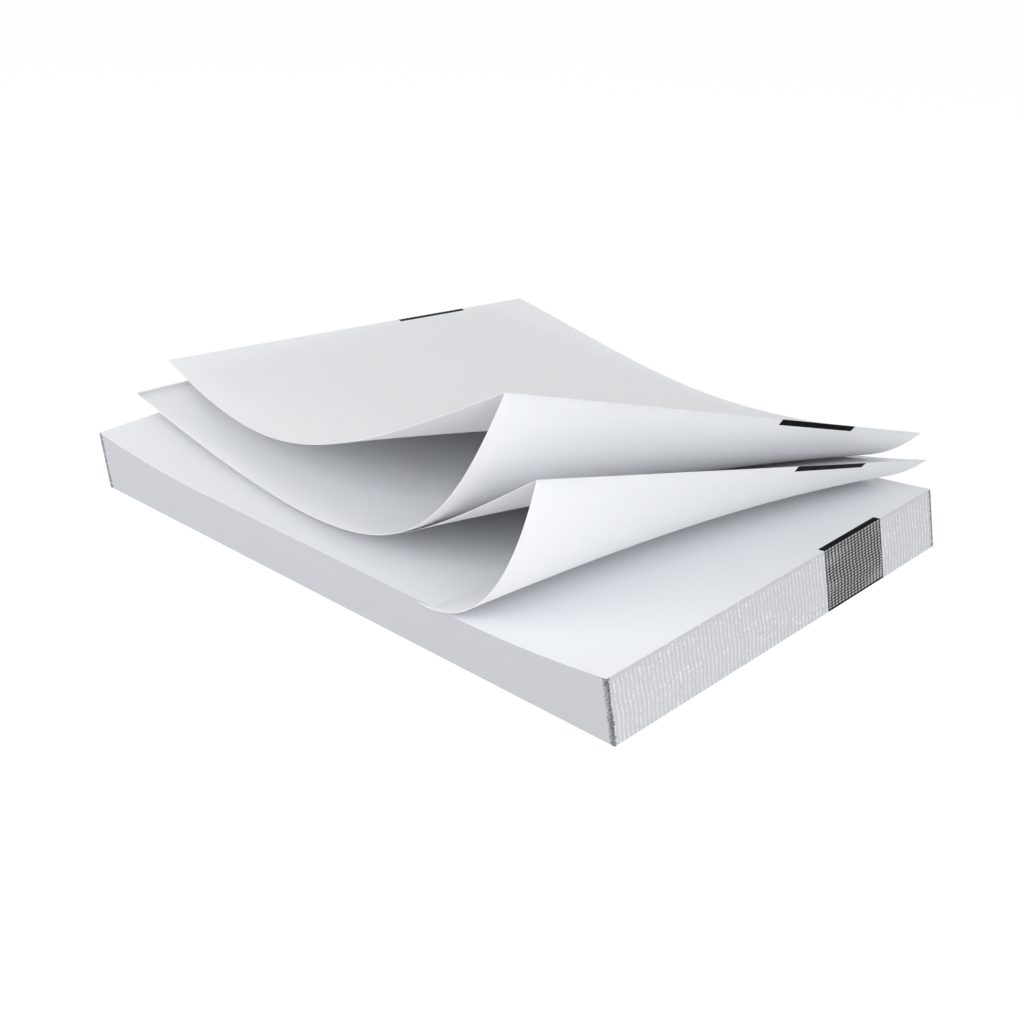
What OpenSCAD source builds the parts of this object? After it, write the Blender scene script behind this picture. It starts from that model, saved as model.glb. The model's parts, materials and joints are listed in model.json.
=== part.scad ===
// Stack of thermal fanfold paper: one long web of chart paper, folded to and fro into a block.
// The last four panels are drawn up from the block and fanned open at one cut side.
// The whole web is one piece, so it is one solid. Millimetres, +Z up.

/* [Paper] */
// Width of the paper, from cut edge to cut edge
sheet_w = 210; // [120:1:300]
// Length of one panel, from fold to fold
sheet_l = 300; // [220:1:400]
// Number of panels that lie folded in the block
panels = 300; // [60:2:360]
// Thickness that one pressed panel takes up in the middle of the block
caliper = 0.067; // [0.05:0.001:0.12]
// Thickness of a drawn-up panel, thicker than the paper so that it stays a sound wall
leaf_t = 0.3; // [0.2:0.05:0.6]

/* [Block] */
// Extra height of the block at its fold ends, where the creases don't press flat
swell_h = 5.3; // [1:0.1:12]
// Distance from each fold end over which the extra height fades out
swell_l = 75; // [30:1:90]
// Distance that the top of the block has slipped towards the back
lean = 4.7; // [0:0.1:12]
// Depth of the gaps between neighbouring folds, seen on the cut sides
fold_gap_d = 2; // [0.5:0.1:4]
// Share of the fold spacing that the gap takes at its mouth
fold_gap_share = 0.4; // [0.1:0.05:0.7]
// Number of folds in one bundle that bulges out together
bundle_folds = 7; // [3:1:15]
// Distance by which the middle of a bundle stands out
bundle_out = 0.3; // [0:0.05:0.8]

/* [Drawn-up panels] */
// Height of the top fold's raised corner above the middle of the block
rise = 95; // [50:1:120]

/* [Resolution] */
// Number of steps along each drawn-up panel
leaf_steps = 32; // [12:2:48]
// Number of strips across the drawn-up panels
leaf_strips = 4; // [2:1:8]
// Number of steps in each swelling curve of the block's top
swell_steps = 12; // [4:1:24]

/* [Hidden] */

paper_white = [0.87, 0.88, 0.9];

// The block

waist_h = panels * caliper;
end_h = waist_h + swell_h;
folds = floor(panels / 2);
fold_pitch = end_h / folds;

// Slip of the block towards the back at height z
function slip(z) = lean * z / end_h;

// Flat rim along each fold end, reaching a little past the gaps between the folds
rim_margin = 0.5;
rim_l = fold_gap_d + rim_margin;
// Height of the block's top at a distance d from the nearer fold end
function top_h(d) = waist_h + swell_h * pow(min(1, max(0, (swell_l - d) / (swell_l - rim_l))), 2);

// How far fold i stands out from the flat of its end: bundles, and a small step from fold to fold
jitter_most = 0.05;
jitter_seed = 12;
fold_jitter = rands(-jitter_most, jitter_most, folds, jitter_seed);
function fold_out(i) =
    i == folds - 1 ? 0 : fold_jitter[i] - bundle_out / 2 * cos(360 * i / bundle_folds);

// Outline of one fold end from the underside up, as [distance into the block, height]:
// each fold is a blunt finger, and a narrow gap runs in above it
fold_end = [
    for (i = [0 : folds - 1])
        let (
            low = i == 0 ? 0 : (i + fold_gap_share / 2) * fold_pitch,
            high = i == folds - 1 ? end_h : (i + 1 - fold_gap_share / 2) * fold_pitch,
            gap = i == folds - 1 ? [] : [[fold_gap_d, (i + 1) * fold_pitch]]
        )
        each concat([[-fold_out(i), low], [-fold_out(i), high]], gap)
];

// The swelling from the rim inwards, as [distance from the fold end, height]
swell_curve = [
    for (i = [0 : swell_steps])
        let (d = rim_l + (swell_l - rim_l) * i / swell_steps)
        [d, top_h(d)]
];

// The block's outline in four stretches, as [place along the panels, height]
front_end = [for (p = fold_end) [p.x + slip(p.y), p.y]];
front_swell = [for (p = swell_curve) [p.x + lean, p.y]];
back_swell = [for (i = [swell_steps : -1 : 0]) [sheet_l + lean - swell_curve[i].x, swell_curve[i].y]];
back_end = [
    for (i = [len(fold_end) - 1 : -1 : 0])
        [sheet_l - fold_end[i].x + slip(fold_end[i].y), fold_end[i].y]
];

module block() {
    rotate([90, 0, 90])
        linear_extrude(height = sheet_w)
            polygon(concat(front_end, front_swell, back_swell, back_end));
}

// The drawn-up panels

// The raised cut edge of the four panels is a chain of cubic Bezier curves, and at each of its
// stations the panel runs across along a straight line of the paper's own width.
// A station is [x, y, height above the block's middle, swing, fall]: its place on the cut edge in
// cells of the grid below, the turn of the crosswise line seen from above in degrees, and its
// fall in percent.
// The last station is sunk in the block's top and lies just inside both of its cut sides.
stations = [
    [58, 331, 17, -10.5, 5],
    [23, 212, 11, -11.5, 1.5],
    [-4, 151, 39, -10.5, 15.5],
    [3, 56, 95, -14.5, 30],
    [-12, 79, 23, -10, 14.5],
    [8, 126, -13, -4, -12],
    [30, 318, 12, -5.5, 3.5],
    [18, 154, -15, -7.5, -7.5],
    [-2, 120, 10, -7, 8],
    [2, 40, 68, -10, 23],
    [-3, 45, 34, -4.5, 18],
    [-7, 57, 0.8, -2, -0.5],
    [0.03, 99, -1.2, -1.5, 0]
];
// The grid that the stations are drawn on: so many cells to a panel's length, and up to the top fold
cells_along = 300;
cells_up = 95;
cell_l = sheet_l / cells_along;
cell_h = rise / cells_up;

function unit(v) = v / norm(v);
function station_at(i) =
    [cell_l * stations[i][0], cell_l * stations[i][1], waist_h + cell_h * stations[i][2]];
function across_at(i) =
    unit([cos(stations[i][3]), sin(stations[i][3]), -cell_h / cell_l * stations[i][4] / 100]);

edge_points = [for (i = [0 : len(stations) - 1]) station_at(i)];
across_points = [for (i = [0 : len(stations) - 1]) across_at(i)];
leaves = (len(stations) - 1) / 3;

function bezier(p, i, u) =
    pow(1 - u, 3) * p[i] + 3 * u * pow(1 - u, 2) * p[i + 1]
    + 3 * u * u * (1 - u) * p[i + 2] + pow(u, 3) * p[i + 3];

// Point of leaf k at a share u of its length and v of its width
function leaf_point(k, u, v) =
    bezier(edge_points, 3 * k, u) + v * sheet_w * unit(bezier(across_points, 3 * k, u));

// Direction along leaf k, by the difference over a short step that stays on the leaf
probe = 0.001;
function leaf_along(k, u, v) =
    unit(leaf_point(k, min(1, u + probe), v) - leaf_point(k, max(0, u - probe), v));

function leaf_normal(k, u, v) = unit(cross(leaf_along(k, u, v), unit(bezier(across_points, 3 * k, u))));

// Offsets of the two faces from the middle of the paper, as [one face, other face].
// At a fold the inner faces meet on the bisector and the outer face is blunt.
function plain_offsets(n) = [n * leaf_t / 2, -n * leaf_t / 2];

// Smallest cosine used at a fold, so that a crease that is almost shut keeps a short miter
least_cos = 0.02;
function fold_offsets(n1, n2, turn) =
    let (
        m = unit(n1 + n2),
        inner = leaf_t / 2 / max(least_cos, m * n1),
        outer = leaf_t / 2
    )
    turn > 0 ? [m * inner, -m * outer] : [m * outer, -m * inner];

// Offsets at the fold that ends leaf k, which turns towards its normal or away from it
function crease_offsets(k, v) =
    fold_offsets(
        leaf_normal(k, 1, v),
        leaf_normal(k + 1, 0, v),
        leaf_along(k + 1, 0, v) * leaf_normal(k, 1, v)
    );

function row_offsets(k, s, v) =
    s == leaf_steps && k < leaves - 1
        ? crease_offsets(k, v)
        : plain_offsets(leaf_normal(k, s / leaf_steps, v));

// Rows of the web from the free edge to the block: each leaf but the first starts on the last row before it
rows = [for (k = [0 : leaves - 1]) for (s = [(k == 0 ? 0 : 1) : leaf_steps]) [k, s]];
row_len = leaf_strips + 1;
function face_points(side) = [
    for (r = rows)
        for (j = [0 : leaf_strips])
            let (k = r[0], s = r[1], v = j / leaf_strips)
            leaf_point(k, s / leaf_steps, v) + row_offsets(k, s, v)[side]
];
leaf_points = concat(face_points(0), face_points(1));
side_count = len(rows) * row_len;

// Point j of row i on one side of the paper
function at(i, j, side) = side * side_count + i * row_len + j;
function quad(a, b, c, d) = [[c, b, a], [d, c, a]];

last_row = len(rows) - 1;
last_strip = leaf_strips;

// The two faces of the paper, then its two cut edges, its free end and its end on the block
leaf_faces = concat(
    [for (i = [0 : last_row - 1]) for (j = [0 : last_strip - 1])
        each quad(at(i, j, 0), at(i + 1, j, 0), at(i + 1, j + 1, 0), at(i, j + 1, 0))],
    [for (i = [0 : last_row - 1]) for (j = [0 : last_strip - 1])
        each quad(at(i, j, 1), at(i, j + 1, 1), at(i + 1, j + 1, 1), at(i + 1, j, 1))],
    [for (i = [0 : last_row - 1])
        each quad(at(i, 0, 0), at(i, 0, 1), at(i + 1, 0, 1), at(i + 1, 0, 0))],
    [for (i = [0 : last_row - 1]) let (j = last_strip)
        each quad(at(i, j, 0), at(i + 1, j, 0), at(i + 1, j, 1), at(i, j, 1))],
    [for (j = [0 : last_strip - 1])
        each quad(at(0, j, 0), at(0, j + 1, 0), at(0, j + 1, 1), at(0, j, 1))],
    [for (j = [0 : last_strip - 1]) let (i = last_row)
        each quad(at(i, j, 0), at(i, j, 1), at(i, j + 1, 1), at(i, j + 1, 0))]
);

module drawn_up_panels() {
    polyhedron(points = leaf_points, faces = leaf_faces, convexity = 8);
}

// The whole web, with the middle of its box over the origin

low_x = min(0, min([for (p = leaf_points) p.x]));
high_x = max(sheet_w, max([for (p = leaf_points) p.x]));
low_y = min(min([for (p = front_end) p.x]), min([for (p = leaf_points) p.y]));
high_y = max(max([for (p = back_end) p.x]), max([for (p = leaf_points) p.y]));

module fanfold_web() {
    color(paper_white)
        translate([-(low_x + high_x) / 2, -(low_y + high_y) / 2, 0])
            union() {
                block();
                drawn_up_panels();
            }
}

fanfold_web();
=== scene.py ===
import json
import math

import bpy
import numpy as np
from bpy.props import FloatProperty, FloatVectorProperty, IntProperty, PointerProperty, StringProperty
from mathutils import Matrix, Vector


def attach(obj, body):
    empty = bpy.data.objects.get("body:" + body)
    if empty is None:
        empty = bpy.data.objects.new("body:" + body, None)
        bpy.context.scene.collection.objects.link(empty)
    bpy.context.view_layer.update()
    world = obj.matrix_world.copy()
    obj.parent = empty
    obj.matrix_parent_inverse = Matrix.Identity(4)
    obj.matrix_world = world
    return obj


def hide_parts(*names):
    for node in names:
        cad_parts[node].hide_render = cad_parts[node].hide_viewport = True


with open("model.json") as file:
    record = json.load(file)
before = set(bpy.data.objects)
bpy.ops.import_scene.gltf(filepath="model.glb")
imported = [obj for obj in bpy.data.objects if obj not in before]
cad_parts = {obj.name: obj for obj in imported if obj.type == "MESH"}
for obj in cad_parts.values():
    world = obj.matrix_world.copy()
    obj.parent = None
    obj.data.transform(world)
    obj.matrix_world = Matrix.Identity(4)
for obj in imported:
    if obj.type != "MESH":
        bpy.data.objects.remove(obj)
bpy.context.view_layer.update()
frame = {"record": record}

bl_info = {
    "name": "Fanfold paper stack",
    "version": (1, 0, 0),
    "blender": (4, 5, 0),
    "location": "View3D > Sidebar > Fanfold",
    "description": "Builds a stack of thermal fanfold chart paper with its last panels drawn up",
    "category": "Add Mesh",
}

MM = 0.001
# Middle of the block's underside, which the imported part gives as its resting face
BLOCK_MIDDLE = np.array(frame["record"]["mounts"][0]["pos_m"])
CAD_NODE = "fanfold_web"
FLAT = "paper"
# Sockets of a Mix node for colours, by number because it has several of the same name
SHARE, FROM, TO, MIXED = 0, 6, 7, 2
# A lower limit that no distance and no count comes near
NO_LIMIT = -1.0
WHITE = (1.0, 1.0, 1.0, 1.0)

# The raised cut edge of the drawn-up panels is a chain of cubic Bezier curves, and these stations are its
# control points, free edge first. A station is [x, y, height above the block's middle, swing, fall]: its
# place in cells of the grid below, the turn of the crosswise line seen from above in degrees, and its fall
# in percent.
STATIONS = np.array([
    [58, 331, 17, -10.5, 5],
    [23, 212, 11, -11.5, 1.5],
    [-4, 151, 39, -10.5, 15.5],
    [3, 56, 95, -14.5, 30],
    [-12, 79, 23, -10, 14.5],
    [8, 126, -13, -4, -12],
    [30, 318, 12, -5.5, 3.5],
    [18, 154, -15, -7.5, -7.5],
    [-2, 120, 10, -7, 8],
    [2, 40, 68, -10, 23],
    [-3, 45, 34, -4.5, 18],
    [-7, 57, 0.8, -2, -0.5],
    [0.03, 99, -1.2, -1.5, 0],
])
PANELS_UP = (len(STATIONS) - 1) // 3
# The grid that the stations are drawn on: so many cells to a panel's length, and up to the top fold
CELLS_ALONG = 300
CELLS_UP = 95


def length(name, about, default):
    """A size in metres, shown with the scene's unit."""
    return FloatProperty(name=name, description=about, default=default, min=0.0, unit="LENGTH", precision=5)


def angle(name, about, degrees):
    """An angle, written here in degrees."""
    return FloatProperty(name=name, description=about, default=math.radians(degrees), unit="ROTATION")


def hue(name, about, default):
    """A colour given as an sRGB hex value."""
    return StringProperty(name=name, description=about, default=default)


class FanfoldSizes(bpy.types.PropertyGroup):
    """Sizes of the paper, its block and its printed marks."""

    sheet_w: length("Paper width", "From cut edge to cut edge", 0.210)
    sheet_l: length("Panel length", "From fold to fold", 0.300)
    waist_h: length("Waist height", "Height of the block in its middle", 0.0201)
    swell_h: length("Swelling", "Extra height of the block at its fold ends", 0.0053)
    swell_l: length("Swelling length", "Distance over which the extra height fades out", 0.075)
    lean: length("Lean", "How far the block's top has slipped towards the back", 0.0047)
    rise: length("Rise", "Height of the top fold's raised corner above the middle of the block", 0.095)
    leaf_t: length("Panel thickness", "Thickness of a drawn-up panel", 0.00012)
    zone_l: length("Fold zone", "Depth of the creased zone at each fold end", 0.0025)
    gap_d: length("Gap depth", "Depth of the gaps between folds at the cut sides", 0.002)
    groove_d: length("Groove depth", "Depth of the grooves between folds along the fold face", 0.0002)
    bundle_out: length("Bundle bulge", "How far a bundle of folds stands out", 0.00008)
    tie_out: length("Tie bulge", "How far the ties stand out from the slits", 0.00012)
    perforation: length("Perforation pitch", "From one tie of the perforation to the next", 0.00231)
    mark_near: length("Mark start", "From the raised cut side to the printed mark", 0.131)
    mark_far: length("Mark end", "From the raised cut side to the far end of the mark", 0.171)
    mark_d: length("Mark depth", "How far the mark reaches on each side of a fold", 0.0031)
    folds: IntProperty(name="Folds", description="Folds at each end of the block", default=150, min=10)
    bundle_folds: IntProperty(name="Folds in a bundle", description="Folds that bulge together",
                              default=7, min=2)


class FanfoldColours(bpy.types.PropertyGroup):
    """Colours of the paper, its edges, its ink and the floor."""

    paper: hue("Coated paper", "Smooth white thermal coating, slightly cool", "E9EBEE")
    # Painted shade in part: written darker than the real edge, because the low side lamp falls strongly on
    # it
    cut: hue("Guillotined edge", "Cut side of the pressed panels", "B3B5B9")
    # Painted shade in part: greyer than the coating, for the shade between the folded edges as well as their
    # own tone
    fold: hue("Perforated fold", "Folded edges at the ties", "D2D4D8")
    slit: hue("Slit edges", "Bare fibre at the perforation slits", "EBECEE")
    ink: hue("Black ink", "Printed index marks", "050507")
    floor: hue("Floor", "Pale studio floor", "E6E7E8")


class FanfoldStage(bpy.types.PropertyGroup):
    """Camera and light."""

    azimuth: angle("Camera azimuth", "0 looks along the panels", -46.795)
    elevation: angle("Camera elevation", "Angle above the floor", 26.280)
    roll: angle("Camera roll", "Tilt of the picture", 0.448)
    distance: length("Camera distance", "From the camera to the point it looks at", 0.75177)
    aim: FloatVectorProperty(name="Aim", description="Point that the camera looks at",
                             default=(-0.01841, -0.01091, -0.00231), precision=5, unit="LENGTH")
    lens: FloatProperty(name="Lens", description="Focal length in mm on a 36 mm sensor", default=59.275)
    fill: FloatProperty(name="Fill light", description="Strength of the light from all round", default=0.6)


def linear(code):
    """sRGB hex to linear RGBA: c / 12.92 up to 0.04045, and ((c + 0.055) / 1.055) to the power 2.4
    above it."""
    c = np.array([int(code[i:i + 2], 16) for i in (0, 2, 4)]) / 255
    rgb = np.where(c <= 0.04045, c / 12.92, ((c + 0.055) / 1.055) ** 2.4)
    return (*rgb.tolist(), 1.0)


def shade(colour, factor):
    """The same colour with its linear values multiplied."""
    return (*(value * factor for value in colour[:3]), 1.0)


def add_node(tree, kind, inputs=(), output=0, **settings):
    """Adds one node, sets its properties, and gives each named input a socket to follow or a value.
    Returns the wanted output."""
    node = tree.nodes.new(kind)
    for key, value in settings.items():
        setattr(node, key, value)
    for key, value in dict(inputs).items():
        if isinstance(value, bpy.types.NodeSocket):
            tree.links.new(value, node.inputs[key])
        else:
            node.inputs[key].default_value = value
    return node.outputs[output] if node.outputs else None


def new_material(name):
    """An empty material and its node tree."""
    material = bpy.data.materials.new(name)
    material.use_nodes = True
    material.node_tree.nodes.clear()
    return material, material.node_tree


def band(tree, value, low, high):
    """1 where low < value < high, and 0 elsewhere."""
    above = add_node(tree, "ShaderNodeMath", {0: value, 1: low}, operation="GREATER_THAN")
    below = add_node(tree, "ShaderNodeMath", {0: value, 1: high}, operation="LESS_THAN")
    return add_node(tree, "ShaderNodeMath", {0: above, 1: below}, operation="MULTIPLY")


def ripple(tree, value, period, whole, halfway):
    """A cosine of the value that passes from one level at whole periods to another halfway between them."""
    turns = add_node(tree, "ShaderNodeMath", {0: value, 1: 2 * math.pi / period}, operation="MULTIPLY")
    cosine = add_node(tree, "ShaderNodeMath", {0: turns}, operation="COSINE")
    return add_node(tree, "ShaderNodeMath", {0: cosine, 1: (whole - halfway) / 2, 2: (whole + halfway) / 2},
                    operation="MULTIPLY_ADD")


def grain(tree, size, detail, stretch=(1, 1, 1)):
    """Noise on Object coordinates with grains of the given size in metres, stretched along each axis."""
    place = add_node(tree, "ShaderNodeTexCoord", output="Object")
    scale = tuple(1 / (size * k) for k in stretch)
    mapped = add_node(tree, "ShaderNodeMapping", {"Vector": place, "Scale": scale})
    return add_node(tree, "ShaderNodeTexNoise",
                    {"Vector": mapped, "Scale": 1.0, "Detail": detail, "Roughness": 0.6})


def flat_place(tree):
    """The piece's own flat paper coordinates, as two sockets."""
    uv = add_node(tree, "ShaderNodeUVMap", output="UV", uv_map=FLAT)
    x = add_node(tree, "ShaderNodeSeparateXYZ", {0: uv}, "X")
    return x, x.node.outputs["Y"]


def paper_shader(tree, colour, roughness, specular, height, strength, depth, light_path=0.0):
    """A matt to silky paper surface with the given colour pattern and a fine relief of the given depth.
    With a light path, which is how far light wanders between the fibres, a single panel lets some of it
    through."""
    normal = add_node(tree, "ShaderNodeBump", {"Height": height, "Strength": strength, "Distance": depth})
    # Red light wanders a little farther than blue
    path_by_colour = (1.2, 1.1, 1.0)
    surface = add_node(tree, "ShaderNodeBsdfPrincipled", {
        "Base Color": colour, "Roughness": roughness, "Specular IOR Level": specular, "Normal": normal,
        "Subsurface Weight": 1.0 if light_path else 0.0, "Subsurface Radius": path_by_colour,
        "Subsurface Scale": light_path})
    add_node(tree, "ShaderNodeOutputMaterial", {"Surface": surface})


def coated_paper(name, printed, light_path=0.0):
    """Thermal chart paper: a smooth calendered base with a matt white coating, even and slightly cool to
    the eye, with a faint cloudiness of its fibres and hardly any sheen. The printed face carries the black
    index marks, which reach the same distance on both sides of every fold. The slits of the perforation
    are fine grey dashes."""
    s, c = bpy.context.scene.fanfold_sizes, bpy.context.scene.fanfold_colours
    material, tree = new_material(name)
    across, along = flat_place(tree)
    base = linear(c.paper)
    cloud_size, cloud_dark, cloud_light = 7 * MM, 0.985, 1.015
    clouds = grain(tree, cloud_size, detail=3.0)
    colour = add_node(tree, "ShaderNodeMix",
                      {SHARE: clouds, FROM: shade(base, cloud_dark), TO: shade(base, cloud_light)},
                      MIXED, data_type="RGBA")

    to_fold = add_node(tree, "ShaderNodeMath", {0: along, 1: s.sheet_l / 2}, operation="PINGPONG")
    slit_half, slit_shade = 0.1 * MM, 0.6
    on_fold = band(tree, to_fold, NO_LIMIT, slit_half)
    slits = ripple(tree, across, s.perforation, 0.0, 1.0)
    slits = add_node(tree, "ShaderNodeMath", {0: slits, 1: on_fold}, operation="MULTIPLY")
    colour = add_node(tree, "ShaderNodeMix", {SHARE: slits, FROM: colour, TO: shade(base, slit_shade)},
                      MIXED, data_type="RGBA")
    if printed:
        near_fold = band(tree, to_fold, NO_LIMIT, s.mark_d)
        marks = band(tree, across, s.mark_near, s.mark_far)
        marks = add_node(tree, "ShaderNodeMath", {0: near_fold, 1: marks}, operation="MULTIPLY")
        colour = add_node(tree, "ShaderNodeMix", {SHARE: marks, FROM: colour, TO: linear(c.ink)},
                          MIXED, data_type="RGBA")
    fibres = grain(tree, 0.35 * MM, detail=2.0)
    paper_shader(tree, colour, roughness=0.5, specular=0.05, height=fibres, strength=0.1, depth=0.02 * MM,
                 light_path=light_path)
    return material


def guillotined_edge():
    """Edges of about 300 pressed panels, cut through by a guillotine: matt, darker than the coating, partly
    by their own tone and partly as painted shade for the low side lamp that falls strongly on this side,
    with faint streaks along the layers. The layers are 0.07 mm thick, and the streaks are drawn 0.5 mm high
    so that they show."""
    c = bpy.context.scene.fanfold_colours
    material, tree = new_material("guillotined_paper_edge")
    base = linear(c.cut)
    streak_h, streak_dark, streak_light = 0.5 * MM, 0.96, 1.03
    streaks = grain(tree, streak_h, detail=3.0, stretch=(120, 120, 1))
    colour = add_node(tree, "ShaderNodeMix",
                      {SHARE: streaks, FROM: shade(base, streak_dark), TO: shade(base, streak_light)},
                      MIXED, data_type="RGBA")
    paper_shader(tree, colour, roughness=0.8, specular=0.25, height=streaks, strength=0.2, depth=0.05 * MM)
    return material


def open_folds(tree, from_corner, reach, spread, colour):
    """Paints shade over a colour near a corner of the block, where the folds spring apart: dark gaps of
    painted shade and pale edges, too fine to tell one from the next, with a ragged border. The gaps lie 0.17
    mm apart, and are drawn in groups of two or three. The border lies about at the reach, and the spread
    says how ragged it is."""
    jag_h, blend_l = 0.4 * MM, 0.2 * MM
    jags = grain(tree, jag_h, detail=2.0, stretch=(8, 8, 1))
    border = add_node(tree, "ShaderNodeMath", {0: jags, 1: 2 * spread, 2: reach - spread},
                      operation="MULTIPLY_ADD")
    inside = add_node(tree, "ShaderNodeMath", {0: border, 1: from_corner}, operation="SUBTRACT")
    inside = add_node(tree, "ShaderNodeMath", {0: inside, 1: 1 / blend_l}, operation="MULTIPLY",
                      use_clamp=True)
    gap_h, contrast, shift = 0.3 * MM, 3.2, -1.15
    gaps = grain(tree, gap_h, detail=2.0, stretch=(3, 3, 1))
    gaps = add_node(tree, "ShaderNodeMath", {0: gaps, 1: contrast, 2: shift}, operation="MULTIPLY_ADD",
                    use_clamp=True)
    base = linear(bpy.context.scene.fanfold_colours.cut)
    # Painted shade: dark in the gaps, with the paper's edges paler between them
    gap_shade, edge_shade = 0.24, 1.15
    painted_gap_shade = add_node(tree, "ShaderNodeMix",
                       {SHARE: gaps, FROM: shade(base, gap_shade), TO: shade(base, edge_shade)},
                       MIXED, data_type="RGBA")
    return add_node(tree, "ShaderNodeMix", {SHARE: inside, FROM: colour, TO: painted_gap_shade},
                    MIXED, data_type="RGBA")


def sprung_fold_ends():
    """Ends of the folds on a cut side: the guillotined edge, and a dark ragged strip of painted shade at the
    corner where the creases hold the panels apart."""
    c = bpy.context.scene.fanfold_colours
    material, tree = new_material("sprung_fold_ends")
    to_face = flat_place(tree)[0]
    colour = open_folds(tree, to_face, reach=2.1 * MM, spread=1.2 * MM, colour=linear(c.cut))
    tips = grain(tree, 0.3 * MM, detail=2.0, stretch=(4, 4, 1))
    paper_shader(tree, colour, roughness=0.85, specular=0.1, height=tips, strength=0.4, depth=0.1 * MM)
    return material


def stripe_vividness(tree, column, fold_number):
    """How clearly the stripe of each column of slits shows: from column to column by chance, and changing
    slowly up the folds."""
    slow_folds, contrast, shift = 25, 2.0, -0.2
    height = add_node(tree, "ShaderNodeMath", {0: fold_number, 1: 1 / slow_folds}, operation="MULTIPLY")
    place = add_node(tree, "ShaderNodeCombineXYZ", {"X": column, "Y": height})
    noise = add_node(tree, "ShaderNodeTexNoise", {"Vector": place, "Scale": 1.7, "Detail": 1.0})
    return add_node(tree, "ShaderNodeMath", {0: noise, 1: contrast, 2: shift}, operation="MULTIPLY_ADD",
                    use_clamp=True)


def painted_highlights(tree, column, fold_number, strength):
    """Painted highlights: 1 at half a bundle of one column here and there, by chance, and only where the
    bundles show.
    """
    threshold = 0.7
    half_bundle = bpy.context.scene.fanfold_sizes.bundle_folds / 2
    row = add_node(tree, "ShaderNodeMath", {0: fold_number, 1: half_bundle}, operation="DIVIDE")
    row = add_node(tree, "ShaderNodeMath", {0: row}, operation="FLOOR")
    cell = add_node(tree, "ShaderNodeCombineXYZ", {"X": column, "Y": row})
    chance = add_node(tree, "ShaderNodeTexWhiteNoise", {"Vector": cell}, noise_dimensions="2D")
    chance = add_node(tree, "ShaderNodeMath", {0: chance, 1: strength}, operation="MULTIPLY")
    return add_node(tree, "ShaderNodeMath", {0: chance, 1: threshold}, operation="GREATER_THAN")


def index_mark(tree, colour, slit, rows, patches, fold_number):
    """The folds' colour with the printed mark across it: the ties are black and the slits grey, the bundles
    show as rows of painted shade in the hollows between them, the ink on the bulges of the bundles is
    painted a lighter grey as a painted sheen, and the lowest folds are all black."""
    s, c = bpy.context.scene.fanfold_sizes, bpy.context.scene.fanfold_colours
    place = add_node(tree, "ShaderNodeTexCoord", output="Object")
    x = add_node(tree, "ShaderNodeSeparateXYZ", {0: place}, "X")
    near_side = BLOCK_MIDDLE[0] - s.sheet_w / 2
    marks = band(tree, x, near_side + s.mark_near, near_side + s.mark_far)
    fibre, ink = linear(c.slit), linear(c.ink)
    contrast, shift = 3.0, -0.5
    valley_shade_dots = add_node(tree, "ShaderNodeMath", {0: patches, 1: contrast, 2: shift}, operation="MULTIPLY_ADD",
                    use_clamp=True)
    valley_shade_dots = add_node(tree, "ShaderNodeMath", {0: rows, 1: valley_shade_dots}, operation="MULTIPLY")
    # Painted sheen and shade: the inked ties are grey on the bulges and black in the hollows, and the slits
    # pale on the bulges and grey in the hollows
    tie_shade, slit_shade, dot_shade = 0.16, 0.8, 0.15
    tie = add_node(tree, "ShaderNodeMix", {SHARE: valley_shade_dots, FROM: shade(fibre, tie_shade), TO: ink},
                   MIXED, data_type="RGBA")
    bare = add_node(tree, "ShaderNodeMix",
                    {SHARE: valley_shade_dots, FROM: shade(fibre, slit_shade), TO: shade(fibre, dot_shade)},
                    MIXED, data_type="RGBA")
    inked = add_node(tree, "ShaderNodeMix", {SHARE: slit, FROM: tie, TO: bare}, MIXED, data_type="RGBA")
    black_folds = 3.0
    lowest = band(tree, fold_number, NO_LIMIT, black_folds)
    inked = add_node(tree, "ShaderNodeMix", {SHARE: lowest, FROM: inked, TO: ink}, MIXED, data_type="RGBA")
    return add_node(tree, "ShaderNodeMix", {SHARE: marks, FROM: colour, TO: inked}, MIXED, data_type="RGBA")


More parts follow.
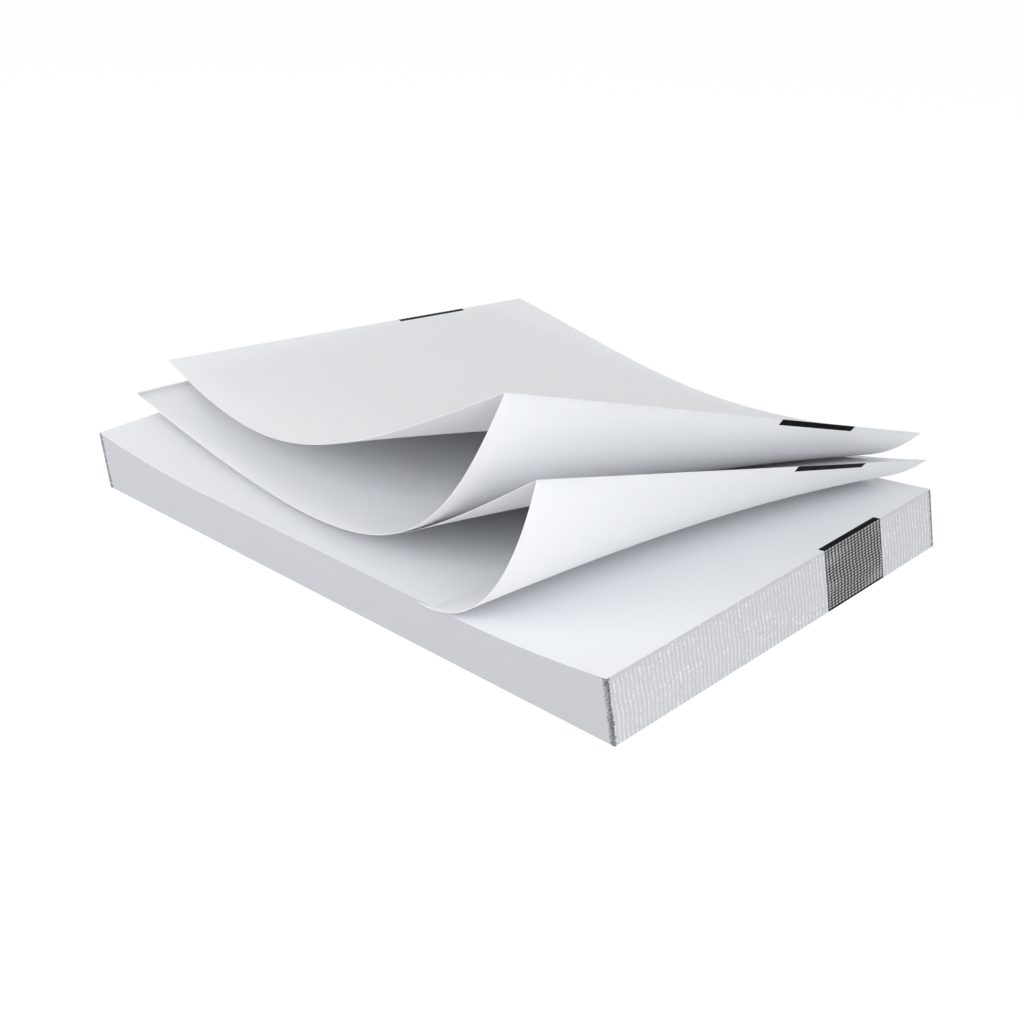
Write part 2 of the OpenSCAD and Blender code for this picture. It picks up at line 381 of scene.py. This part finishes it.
def perforated_fold(name, printed):
    """Folded edges of the panels, whose perforations lie one above the other: narrow pale stripes of fibre
    at the slits, a coating at the ties that is greyer partly by its own tone and partly as painted shade,
    and bundles of folds as faint rows of painted shade between them, with a painted highlight here and
    there. The stripes fade out just below the top edge, and dark gaps of painted shade open at both cut
    sides. The printed face also has the index marks, where they cross the folds."""
    s, c = bpy.context.scene.fanfold_sizes, bpy.context.scene.fanfold_colours
    material, tree = new_material(name)
    pitch_number, fold_number = flat_place(tree)
    # The fold colour is partly painted shade between the folded edges
    fibre, coating = linear(c.slit), linear(c.fold)
    slit = ripple(tree, pitch_number, 1.0, 0.0, 1.0)
    narrower = 2.0
    stripe = add_node(tree, "ShaderNodeMath", {0: slit, 1: narrower}, operation="POWER")
    column = add_node(tree, "ShaderNodeMath", {0: pitch_number}, operation="FLOOR")
    fade_folds, plain_folds = 6.0, 6.0
    below_top = add_node(tree, "ShaderNodeMath", {0: s.folds - plain_folds, 1: fold_number},
                         operation="SUBTRACT")
    shown = add_node(tree, "ShaderNodeMath", {0: below_top, 1: 1 / fade_folds}, operation="MULTIPLY",
                     use_clamp=True)
    vivid = stripe_vividness(tree, column, fold_number)
    shown = add_node(tree, "ShaderNodeMath", {0: shown, 1: vivid}, operation="MULTIPLY")
    pale = add_node(tree, "ShaderNodeMath", {0: stripe, 1: shown}, operation="MULTIPLY")
    colour = add_node(tree, "ShaderNodeMix", {SHARE: pale, FROM: coating, TO: fibre},
                      MIXED, data_type="RGBA")

    patch_size, contrast, shift = 9 * MM, 3.0, -0.85
    patches = grain(tree, patch_size, detail=2.0, stretch=(4, 1, 1))
    strength = add_node(tree, "ShaderNodeMath", {0: patches, 1: contrast, 2: shift},
                        operation="MULTIPLY_ADD", use_clamp=True)
    # Painted shade: the rows darken the folds in the hollows between the bundles, more where the chance
    # patches are strong
    rows = ripple(tree, fold_number, s.bundle_folds, 0.0, 1.0)
    painted_valley_shade = add_node(tree, "ShaderNodeMath", {0: rows, 1: strength}, operation="MULTIPLY")
    valley_share, valley_shade = 0.3, 0.92
    painted_valley_shade = add_node(tree, "ShaderNodeMath", {0: painted_valley_shade, 1: valley_share}, operation="MULTIPLY")
    colour = add_node(tree, "ShaderNodeMix",
                      {SHARE: painted_valley_shade, FROM: colour, TO: shade(coating, valley_shade)},
                      MIXED, data_type="RGBA")
    # Painted highlights on the pale stripes, a little brighter than the bare fibre
    highlights = painted_highlights(tree, column, fold_number, strength)
    highlights = add_node(tree, "ShaderNodeMath", {0: highlights, 1: stripe}, operation="MULTIPLY")
    highlight_level = 1.08
    colour = add_node(tree, "ShaderNodeMix", {SHARE: highlights, FROM: colour, TO: shade(fibre, highlight_level)},
                      MIXED, data_type="RGBA")
    if printed:
        colour = index_mark(tree, colour, slit, rows, patches, fold_number)

    half_count = round(s.sheet_w / s.perforation) / 2
    to_side = add_node(tree, "ShaderNodeMath", {0: pitch_number, 1: half_count}, operation="PINGPONG")
    to_side = add_node(tree, "ShaderNodeMath", {0: to_side, 1: s.perforation}, operation="MULTIPLY")
    # Painted shade in the gaps that open at both cut sides
    colour = open_folds(tree, to_side, reach=1.2 * MM, spread=1.7 * MM, colour=colour)
    fibres = grain(tree, 0.3 * MM, detail=2.0)
    paper_shader(tree, colour, roughness=0.7, specular=0.12, height=fibres, strength=0.15,
                 depth=0.03 * MM)
    return material


def seen_by_eye(tree):
    """1 for rays that come to the camera straight, by a reflection or through glass, and 0 for the rest."""
    path = add_node(tree, "ShaderNodeLightPath", output="Is Camera Ray")
    glossy, clear = path.node.outputs["Is Glossy Ray"], path.node.outputs["Is Transmission Ray"]
    seen = add_node(tree, "ShaderNodeMath", {0: path, 1: glossy}, operation="MAXIMUM")
    return add_node(tree, "ShaderNodeMath", {0: seen, 1: clear}, operation="MAXIMUM")


def studio_floor():
    """Seamless paper floor. The camera sees it nearly white, and it still shows the object's shadow."""
    material, tree = new_material("seamless_paper_floor")
    # Share of its lighting that the floor shows to the camera, and how bright the open floor is lit
    lit, open_floor = 0.16, 0.75
    plain = add_node(tree, "ShaderNodeBsdfDiffuse",
                     {"Color": linear(bpy.context.scene.fanfold_colours.floor)})
    faint = add_node(tree, "ShaderNodeBsdfDiffuse", {"Color": (lit, lit, lit, 1.0)})
    glow = add_node(tree, "ShaderNodeEmission", {"Color": WHITE, "Strength": 1.0 - open_floor * lit})
    bright = add_node(tree, "ShaderNodeAddShader", {0: faint, 1: glow})
    surface = add_node(tree, "ShaderNodeMixShader", {0: seen_by_eye(tree), 1: plain, 2: bright})
    add_node(tree, "ShaderNodeOutputMaterial", {"Surface": surface})
    # The glow is only for the eye, so the floor isn't sampled as a lamp
    material.cycles.emission_sampling = "NONE"
    return material


def grid_quads(rows, columns):
    """Corner numbers of the quads of a grid of points, row by row."""
    i, j = np.meshgrid(np.arange(rows - 1), np.arange(columns - 1), indexing="ij")
    a = (i * columns + j).ravel()
    return np.stack([a, a + 1, a + columns + 1, a + columns], axis=1)


class Skin:
    """Gathers the surfaces of one piece as whole arrays: points, and faces with their flat paper
    coordinates."""

    def __init__(self):
        self.points, self.loops, self.sizes, self.flats, self.slots = [], [], [], [], []
        self.count = 0

    def add_points(self, points):
        """Adds points and returns the number of the first."""
        points = np.asarray(points, float).reshape(-1, 3)
        self.points.append(points)
        self.count += len(points)
        return self.count - len(points)

    def add_faces(self, faces, flat, slot):
        """Adds faces of equal corner count with a flat coordinate for each corner."""
        faces = np.asarray(faces, int)
        self.loops.append(faces.ravel())
        self.sizes.append(np.full(len(faces), faces.shape[1]))
        self.flats.append(np.asarray(flat, float).reshape(-1, 2))
        self.slots.append(np.full(len(faces), slot))

    def add_grid(self, points, flat, slot, turned=False):
        """Adds a grid of points of shape (rows, columns, 3) as quads."""
        rows, columns = points.shape[:2]
        first = self.add_points(points)
        quads = grid_quads(rows, columns)
        quads = quads[:, ::-1] if turned else quads
        self.add_faces(quads + first, flat.reshape(-1, 2)[quads], slot)

    def make(self, name, materials, sharp_deg=30.0):
        """Turns the arrays into a mesh whose equal points are merged, smooth but for edges sharper than the
        limit, and makes it ride on the part."""
        mesh = bpy.data.meshes.new(name)
        points = np.vstack(self.points).astype(np.float32)
        merged, number = np.unique(np.round(points, 7), axis=0, return_inverse=True)
        loops, sizes = number.ravel()[np.concatenate(self.loops)], np.concatenate(self.sizes)
        mesh.vertices.add(len(merged))
        mesh.vertices.foreach_set("co", merged.ravel())
        mesh.loops.add(len(loops))
        mesh.loops.foreach_set("vertex_index", loops.astype(np.int32))
        mesh.polygons.add(len(sizes))
        mesh.polygons.foreach_set("loop_start", (np.cumsum(sizes) - sizes).astype(np.int32))
        mesh.polygons.foreach_set("material_index", np.concatenate(self.slots).astype(np.int32))
        mesh.polygons.foreach_set("use_smooth", np.ones(len(sizes), bool))
        mesh.update(calc_edges=True)
        layer = mesh.uv_layers.new(name=FLAT)
        layer.data.foreach_set("uv", np.vstack(self.flats).astype(np.float32).ravel())
        for material in materials:
            mesh.materials.append(material)
        mesh.validate()
        mesh.set_sharp_from_angle(angle=math.radians(sharp_deg))
        piece = bpy.data.objects.new(name, mesh)
        bpy.context.scene.collection.objects.link(piece)
        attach(piece, "root")
        return piece


def block_corner():
    """Corner of the block's underside at its raised cut side and its front fold face."""
    s = bpy.context.scene.fanfold_sizes
    return BLOCK_MIDDLE - np.array([s.sheet_w / 2, s.sheet_l / 2, 0])


def in_block(x, y, share):
    """Point of the block at x across and y along, at a share of its height. The height is the waist plus a
    swelling that grows with the square of the nearness to a fold end, and y slips back by the same share of
    the lean."""
    s = bpy.context.scene.fanfold_sizes
    x, y, share = np.broadcast_arrays(x, y, share)
    nearness = np.clip(1 - np.minimum(y, s.sheet_l - y) / s.swell_l, 0, 1)
    height = s.waist_h + s.swell_h * nearness ** 2
    return np.stack([x, y + s.lean * share, share * height], axis=-1) + block_corner()


def build_pressed_block():
    """The block between its fold zones: a closed tube of four-cornered rings along the panels. Ring j stands
    at y_j, its lower corners at share 0 and its upper corners at share 1 of the height."""
    s = bpy.context.scene.fanfold_sizes
    swell_rings, flat_rings = 48, 10
    rise = np.linspace(s.zone_l, s.swell_l, swell_rings)
    middle = np.linspace(s.swell_l, s.sheet_l - s.swell_l, flat_rings)[1:-1]
    y = np.concatenate([rise, middle, (s.sheet_l - rise)[::-1]])
    # The mark is drawn at the front fold only, so the distance stops growing where no fold is near
    paper_y = np.minimum(y, s.sheet_l / 4)
    w = s.sheet_w
    skin = Skin()
    # Top, far cut side, underside and raised cut side, each as x and share at its two edges, and its slot
    sides = ((0, 1, w, 1, 0), (w, 1, w, 0, 1), (w, 0, 0, 0, 0), (0, 0, 0, 1, 1))
    for x1, share1, x2, share2, slot in sides:
        x, share = np.array([[x1, x2]]), np.array([[share1, share2]])
        flat = np.stack(np.broadcast_arrays(x, paper_y[:, None]), axis=-1)
        skin.add_grid(in_block(x, y[:, None], share), flat, slot, turned=True)
    for end, turned in ((y[0], False), (y[-1], True)):
        corners = in_block(np.array([[0, w], [0, w]]), end, np.array([[0, 0], [1, 1]]))
        skin.add_grid(corners, np.zeros((2, 2, 2)), 1, turned)
    skin.make("pressed_block", [coated_paper("thermal_paper_top_panel", True), guillotined_edge()])


def fold_drift(folds, rng):
    """Sideways drift of the perforation from fold to fold: slow sines of the fold number and a small
    step."""
    # Size in mm and period in folds
    waves = ((0.30, 140), (0.18, 62), (0.07, 25))
    small_step = 0.03 * MM
    i = np.arange(folds)
    slow = [size * MM * np.sin(2 * np.pi * i / period + rng.uniform(0, 2 * np.pi)) for size, period in waves]
    return sum(slow) + rng.normal(0, small_step, folds)


def build_fold_zone(name, back, materials, seed):
    """One end of the block: its folds, each a blunt finger with a narrow gap over it, carried across the
    paper. A row is the low tip, the high tip or the gap of a fold, at its share of the height. A column lies
    at a tie or a slit of the perforation, or between them near the cut sides. A point stands out by a cosine
    of its fold number over the bundle, a small step for its fold and a cosine of its column number, and all
    of this fades out towards the top edge. Near the cut sides, where the panels spring apart, a bell curve
    of the distance to the side widens the gaps and makes them deep."""
    s = bpy.context.scene.fanfold_sizes
    rng = np.random.default_rng(seed)
    # Half pitches across the paper, with ties at the even ones and slits at the odd ones
    halves = 2 * round(s.sheet_w / s.perforation)
    # Further columns close to each cut side, where the gaps open
    near = np.array([0, 0.3, 0.6])
    column = np.concatenate([near, np.arange(1, halves), halves - near[::-1]])
    x0 = column * s.sheet_w / halves
    to_side = np.minimum(x0, s.sheet_w - x0)
    side_reach = 0.7 * MM
    bell = np.exp(-(to_side / side_reach) ** 2)[None, :]

    i = np.arange(s.folds)[:, None]
    # Half the gap's mouth as a share of the fold spacing, in the middle and at the cut sides
    mouth, wide_mouth = 0.2, 0.42
    half_gap = mouth + (wide_mouth - mouth) * bell
    gap_middle = np.broadcast_to(i + 1.0, (s.folds, len(column)))
    share = np.stack([i + half_gap, i + 1 - half_gap, gap_middle], axis=1)
    share /= s.folds
    # The lowest fold starts at the underside, and the highest ends just below the top
    share[0, 0], share[-1, 1] = 0.0, 1 - mouth / s.folds / 2

    top_fade, side_fade = 2.2 * MM, 4 * MM
    fold_step, least_depth = 0.02 * MM, 0.6
    calm = np.clip((1 - share[:, 1]) * (s.waist_h + s.swell_h) / top_fade, 0, 1)
    steps = rng.normal(0, fold_step, (s.folds, 1))
    bulge = s.bundle_out / 2 * np.cos(2 * np.pi * i / s.bundle_folds) + steps
    tie = s.tie_out / 2 * np.cos(np.pi * column)[None, :]
    tip = -(bulge + tie) * calm
    ragged = rng.uniform(least_depth, 1.0, (s.folds, 1))
    gap = tip + s.groove_d + (s.gap_d - s.groove_d) * bell * ragged
    # There is no gap over the highest fold
    gap[-1] = tip[-1]
    y = np.stack([tip, tip, gap], axis=1).reshape(3 * s.folds, -1)
    drift = fold_drift(s.folds, rng)[:, None] * np.clip(to_side / side_fade, 0, 1)[None, :]
    x = np.repeat(np.clip(x0[None, :] + drift, 0, s.sheet_w), 3, axis=0)
    share = share.reshape(3 * s.folds, -1)
    flip = (lambda v: s.sheet_l - v) if back else (lambda v: v)

    skin = Skin()
    flat = np.stack([np.broadcast_to(column / 2, x.shape), share * s.folds], axis=-1)
    skin.add_grid(in_block(x, flip(y), share), flat, 0, turned=back)
    for edge, turned in ((0, True), (-1, False)):
        side_y = np.stack([y[:, edge], np.full(len(y), s.zone_l)], axis=1)
        side_share = share[:, [edge]]
        flat = np.stack([side_y, np.broadcast_to(side_share * s.folds, side_y.shape)], axis=-1)
        skin.add_grid(in_block(x[:, [edge]], flip(side_y), side_share), flat, 1, turned=turned != back)
    inner_x = np.array([[0, s.sheet_w]])
    inner = in_block(inner_x, flip(s.zone_l), share[:, [0, -1]])
    skin.add_grid(inner, np.full((len(y), 2, 2), s.zone_l), 1, turned=not back)
    for row, turned in ((0, True), (-1, False)):
        lid_x = np.concatenate([x[row], [s.sheet_w, 0]])
        lid_y = np.concatenate([y[row], [s.zone_l, s.zone_l]])
        first = skin.add_points(in_block(lid_x, flip(lid_y), share[row, 0]))
        lid = np.arange(len(lid_x))[::-1] if turned != back else np.arange(len(lid_x))
        # No mark is drawn at the back fold, so the distance there is one with no fold near
        paper_y = np.full_like(lid_y, s.sheet_l / 4) if back else lid_y
        skin.add_faces([lid + first], np.stack([lid_x, paper_y], axis=1)[lid], 2)
    skin.make(name, materials)


def bezier(p, u):
    """Cubic Bezier curve of four points: (1-u)^3 p0 + 3u(1-u)^2 p1 + 3u^2(1-u) p2 + u^3 p3."""
    u = u[:, None]
    return (1 - u) ** 3 * p[0] + 3 * u * (1 - u) ** 2 * p[1] + 3 * u ** 2 * (1 - u) * p[2] + u ** 3 * p[3]


def unit(v):
    """Vectors of length 1 in the same directions."""
    return v / np.linalg.norm(v, axis=-1, keepdims=True)


def drawn_up_middle(u, v):
    """Middle surface of each drawn-up panel, its direction along the paper and its normals. The raised cut
    edge is a chain of Bezier curves of u, and from each of its points the paper runs its full width v along
    a straight line whose direction is itself a Bezier curve of u."""
    s = bpy.context.scene.fanfold_sizes
    cell_l, cell_h = s.sheet_l / CELLS_ALONG, s.rise / CELLS_UP
    edge = STATIONS[:, :3] * [cell_l, cell_l, cell_h] + [0, 0, s.waist_h] + block_corner()
    swing = np.radians(STATIONS[:, 3])
    across = unit(np.stack([np.cos(swing), np.sin(swing), -cell_h / cell_l * STATIONS[:, 4] / 100], axis=1))
    panels = []
    for k in range(PANELS_UP):
        points = slice(3 * k, 3 * k + 4)
        line = unit(bezier(across[points], u))
        middle = bezier(edge[points], u)[:, None, :] + v[None, :, None] * s.sheet_w * line[:, None, :]
        along = unit(np.gradient(middle, u, axis=0))
        normal = unit(np.cross(along, line[:, None, :]))
        panels.append((middle, along, normal))
    return panels


def build_drawn_up_panels():
    """The panels as one thin closed shell. Each face of the paper lies half its thickness off the middle
    surface along the normal. At a fold both sides share one row on the bisector of the two panels'
    normals."""
    s = bpy.context.scene.fanfold_sizes
    steps, pitches = 60, round(s.sheet_w / s.perforation)
    u = np.linspace(0, 1, steps + 1)
    v = np.linspace(0, 1, 2 * pitches + 1)
    panels = drawn_up_middle(u, v)
    half = s.leaf_t / 2
    # Limits the length of the miter at a crease that is almost shut
    least_cos = 0.05
    middles, ups, downs, paper_y = [], [], [], []
    for k, (middle, _, normal) in enumerate(panels):
        up, down = normal * half, -normal * half
        if k + 1 < len(panels):
            next_along, next_normal = panels[k + 1][1][0], panels[k + 1][2][0]
            bisector = unit(normal[-1] + next_normal)
            cosine = np.maximum(least_cos, np.sum(bisector * normal[-1], axis=-1, keepdims=True))
            turn = np.sum(next_along * normal[-1], axis=-1, keepdims=True)
            up[-1] = bisector * np.where(turn > 0, half / cosine, half)
            down[-1] = -bisector * np.where(turn > 0, half, half / cosine)
        first = 0 if k == 0 else 1
        middles.append(middle[first:])
        ups.append(up[first:])
        downs.append(down[first:])
        # Distance along the paper from the free edge, which is a whole number of panels at each fold
        steps_out = np.linalg.norm(np.diff(middle, axis=0), axis=2)
        travelled = np.vstack([np.zeros(len(v)), np.cumsum(steps_out, axis=0)])
        # The last panel runs on along the block, so it alone is shorter here than the paper
        whole = travelled[-1] if k + 1 < len(panels) else s.sheet_l
        paper_y.append((k * s.sheet_l + travelled / whole * s.sheet_l)[first:])
    middle, up, down = (np.concatenate(rows) for rows in (middles, ups, downs))
    paper_y = np.concatenate(paper_y)
    # The free edge is torn at a perforation, so it stands out at each tie and back at each slit
    nib_l = 0.15 * MM
    nibs = nib_l * np.cos(np.pi * np.arange(len(v)))
    middle[0] -= panels[0][1][0] * nibs[:, None]

    flat = np.stack(np.broadcast_arrays(v[None, :] * s.sheet_w, paper_y), axis=-1)
    top, under = middle + up, middle + down
    skin = Skin()
    skin.add_grid(top, flat, 0)
    skin.add_grid(under, flat, 1, turned=True)
    for j, turned in ((0, True), (-1, False)):
        cut_edge = np.stack([top[:, j], under[:, j]], axis=1)
        skin.add_grid(cut_edge, np.stack([flat[:, j]] * 2, axis=1), 1, turned)
    for i, turned in ((0, True), (-1, False)):
        web_end = np.stack([top[i], under[i]], axis=0)
        skin.add_grid(web_end, np.stack([flat[i]] * 2, axis=0), 1, turned)
    # One panel alone lets roughly a sixth of the light through
    light_path = 0.22 * MM
    piece = skin.make("drawn_up_panels", [coated_paper("thermal_paper_printed_face", True, light_path),
                                           coated_paper("thermal_paper_plain_face", False, light_path)])
    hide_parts(CAD_NODE)


def look_from(azimuth, elevation):
    """Direction from the object back to the viewer: azimuth 0 looks along +Y."""
    level = math.cos(elevation)
    return Vector((math.sin(azimuth) * level, -math.cos(azimuth) * level, math.sin(elevation)))


def add_lamp(name, azimuth_deg, elevation_deg, distance, size, watts):
    """A square soft lamp that faces the middle of the object."""
    light = bpy.data.lights.new(name, "AREA")
    light.shape, light.size, light.energy = "SQUARE", size, watts
    lamp = bpy.data.objects.new(name, light)
    back = look_from(math.radians(azimuth_deg), math.radians(elevation_deg))
    lamp.rotation_mode = "QUATERNION"
    lamp.location = Vector((0, 0, 30 * MM)) + back * distance
    lamp.rotation_quaternion = back.to_track_quat("Z", "Y")
    bpy.context.scene.collection.objects.link(lamp)


# Name, azimuth and elevation in degrees, distance and size in metres, and watts
LAMPS = [
    ("low_side_softbox", 252, 14, 1.0, 0.5, 3.6),
    ("key_softbox", 292, 35, 1.6, 0.5, 5.5),
    ("high_front_softbox", 337, 35, 1.6, 0.7, 3.7),
    ("low_front_softbox", 0, 12, 1.6, 0.7, 4.6),
    ("high_side_softbox", 247, 35, 1.6, 0.7, 1.2),
]


def build_floor():
    """A flat square floor just under the block."""
    reach, drop = 8.0, 0.1 * MM
    corners = [(x * reach, y * reach, -drop) for x, y in ((-1, -1), (1, -1), (1, 1), (-1, 1))]
    mesh = bpy.data.meshes.new("studio_floor")
    mesh.from_pydata(corners, [], [(0, 1, 2, 3)])
    mesh.materials.append(studio_floor())
    floor = bpy.data.objects.new("studio_floor", mesh)
    bpy.context.scene.collection.objects.link(floor)


def build_world(strength):
    """Even white light from all round, and a white background for the camera."""
    world = bpy.data.worlds.new("studio_world")
    world.use_nodes = True
    tree = world.node_tree
    tree.nodes.clear()
    soft = add_node(tree, "ShaderNodeBackground", {"Color": WHITE, "Strength": strength})
    white = add_node(tree, "ShaderNodeBackground", {"Color": WHITE, "Strength": 1.0})
    surface = add_node(tree, "ShaderNodeMixShader", {0: seen_by_eye(tree), 1: soft, 2: white})
    add_node(tree, "ShaderNodeOutputWorld", {"Surface": surface})
    bpy.context.scene.world = world


def build_camera():
    """The camera stands back from the point it looks at, and is rolled about its line of sight."""
    g = bpy.context.scene.fanfold_stage
    data = bpy.data.cameras.new("camera")
    data.sensor_width, data.lens = 36.0, g.lens
    data.clip_start, data.clip_end = 0.01, 50.0
    camera = bpy.data.objects.new("camera", data)
    back = look_from(g.azimuth, g.elevation)
    turn = back.to_track_quat("Z", "Y").to_matrix().to_4x4() @ Matrix.Rotation(g.roll, 4, "Z")
    camera.matrix_world = Matrix.Translation(Vector(g.aim) + back * g.distance) @ turn
    bpy.context.scene.collection.objects.link(camera)
    bpy.context.scene.camera = camera


class FANFOLD_OT_stage(bpy.types.Operator):
    """Make the floor, the light and the camera"""

    bl_idname = "fanfold.stage"
    bl_label = "Stage"

    def execute(self, context):
        context.scene.view_settings.view_transform = "Standard"
        build_floor()
        build_world(context.scene.fanfold_stage.fill)
        for lamp in LAMPS:
            add_lamp(*lamp)
        build_camera()
        return {"FINISHED"}


class FANFOLD_OT_drawn_up_panels(bpy.types.Operator):
    """Make the four panels that are drawn up from the block"""

    bl_idname = "fanfold.drawn_up_panels"
    bl_label = "Drawn-up panels"

    def execute(self, context):
        build_drawn_up_panels()
        return {"FINISHED"}


class FANFOLD_OT_pressed_block(bpy.types.Operator):
    """Make the pressed middle of the block"""

    bl_idname = "fanfold.pressed_block"
    bl_label = "Pressed block"

    def execute(self, context):
        build_pressed_block()
        return {"FINISHED"}


class FANFOLD_OT_fold_zones(bpy.types.Operator):
    """Make the perforated folds at both ends of the block"""

    bl_idname = "fanfold.fold_zones"
    bl_label = "Fold zones"

    def execute(self, context):
        ends, rim = sprung_fold_ends(), coated_paper("thermal_paper_fold_rim", True)
        front = perforated_fold("printed_perforated_fold", True)
        back = perforated_fold("plain_perforated_fold", False)
        build_fold_zone("front_folds", False, [front, ends, rim], seed=17)
        build_fold_zone("back_folds", True, [back, ends, rim], seed=31)
        return {"FINISHED"}


class FANFOLD_PT_stack(bpy.types.Panel):
    """Lists the sizes, the colours and the operators"""

    bl_idname = "FANFOLD_PT_stack"
    bl_label = "Fanfold paper stack"
    bl_space_type = "VIEW_3D"
    bl_region_type = "UI"
    bl_category = "Fanfold"

    def draw(self, context):
        for group_name in GROUPS:
            group = getattr(context.scene, group_name)
            box = self.layout.box()
            for name in group.bl_rna.properties.keys():
                if name not in ("name", "rna_type"):
                    box.prop(group, name)
        for operator in OPERATORS:
            self.layout.operator(operator.bl_idname)


GROUPS = {"fanfold_sizes": FanfoldSizes, "fanfold_colours": FanfoldColours, "fanfold_stage": FanfoldStage}
OPERATORS = [FANFOLD_OT_stage, FANFOLD_OT_pressed_block, FANFOLD_OT_fold_zones, FANFOLD_OT_drawn_up_panels]


def register():
    for kind in (*GROUPS.values(), *OPERATORS, FANFOLD_PT_stack):
        bpy.utils.register_class(kind)
    for name, kind in GROUPS.items():
        setattr(bpy.types.Scene, name, PointerProperty(type=kind))


def unregister():
    for name in GROUPS:
        delattr(bpy.types.Scene, name)
    for kind in reversed((*GROUPS.values(), *OPERATORS, FANFOLD_PT_stack)):
        bpy.utils.unregister_class(kind)


def main():
    register()
    bpy.ops.fanfold.stage()
    bpy.ops.fanfold.pressed_block()
    bpy.ops.fanfold.fold_zones()
    bpy.ops.fanfold.drawn_up_panels()
    bpy.context.view_layer.update()


if __name__ == "__main__":
    main()
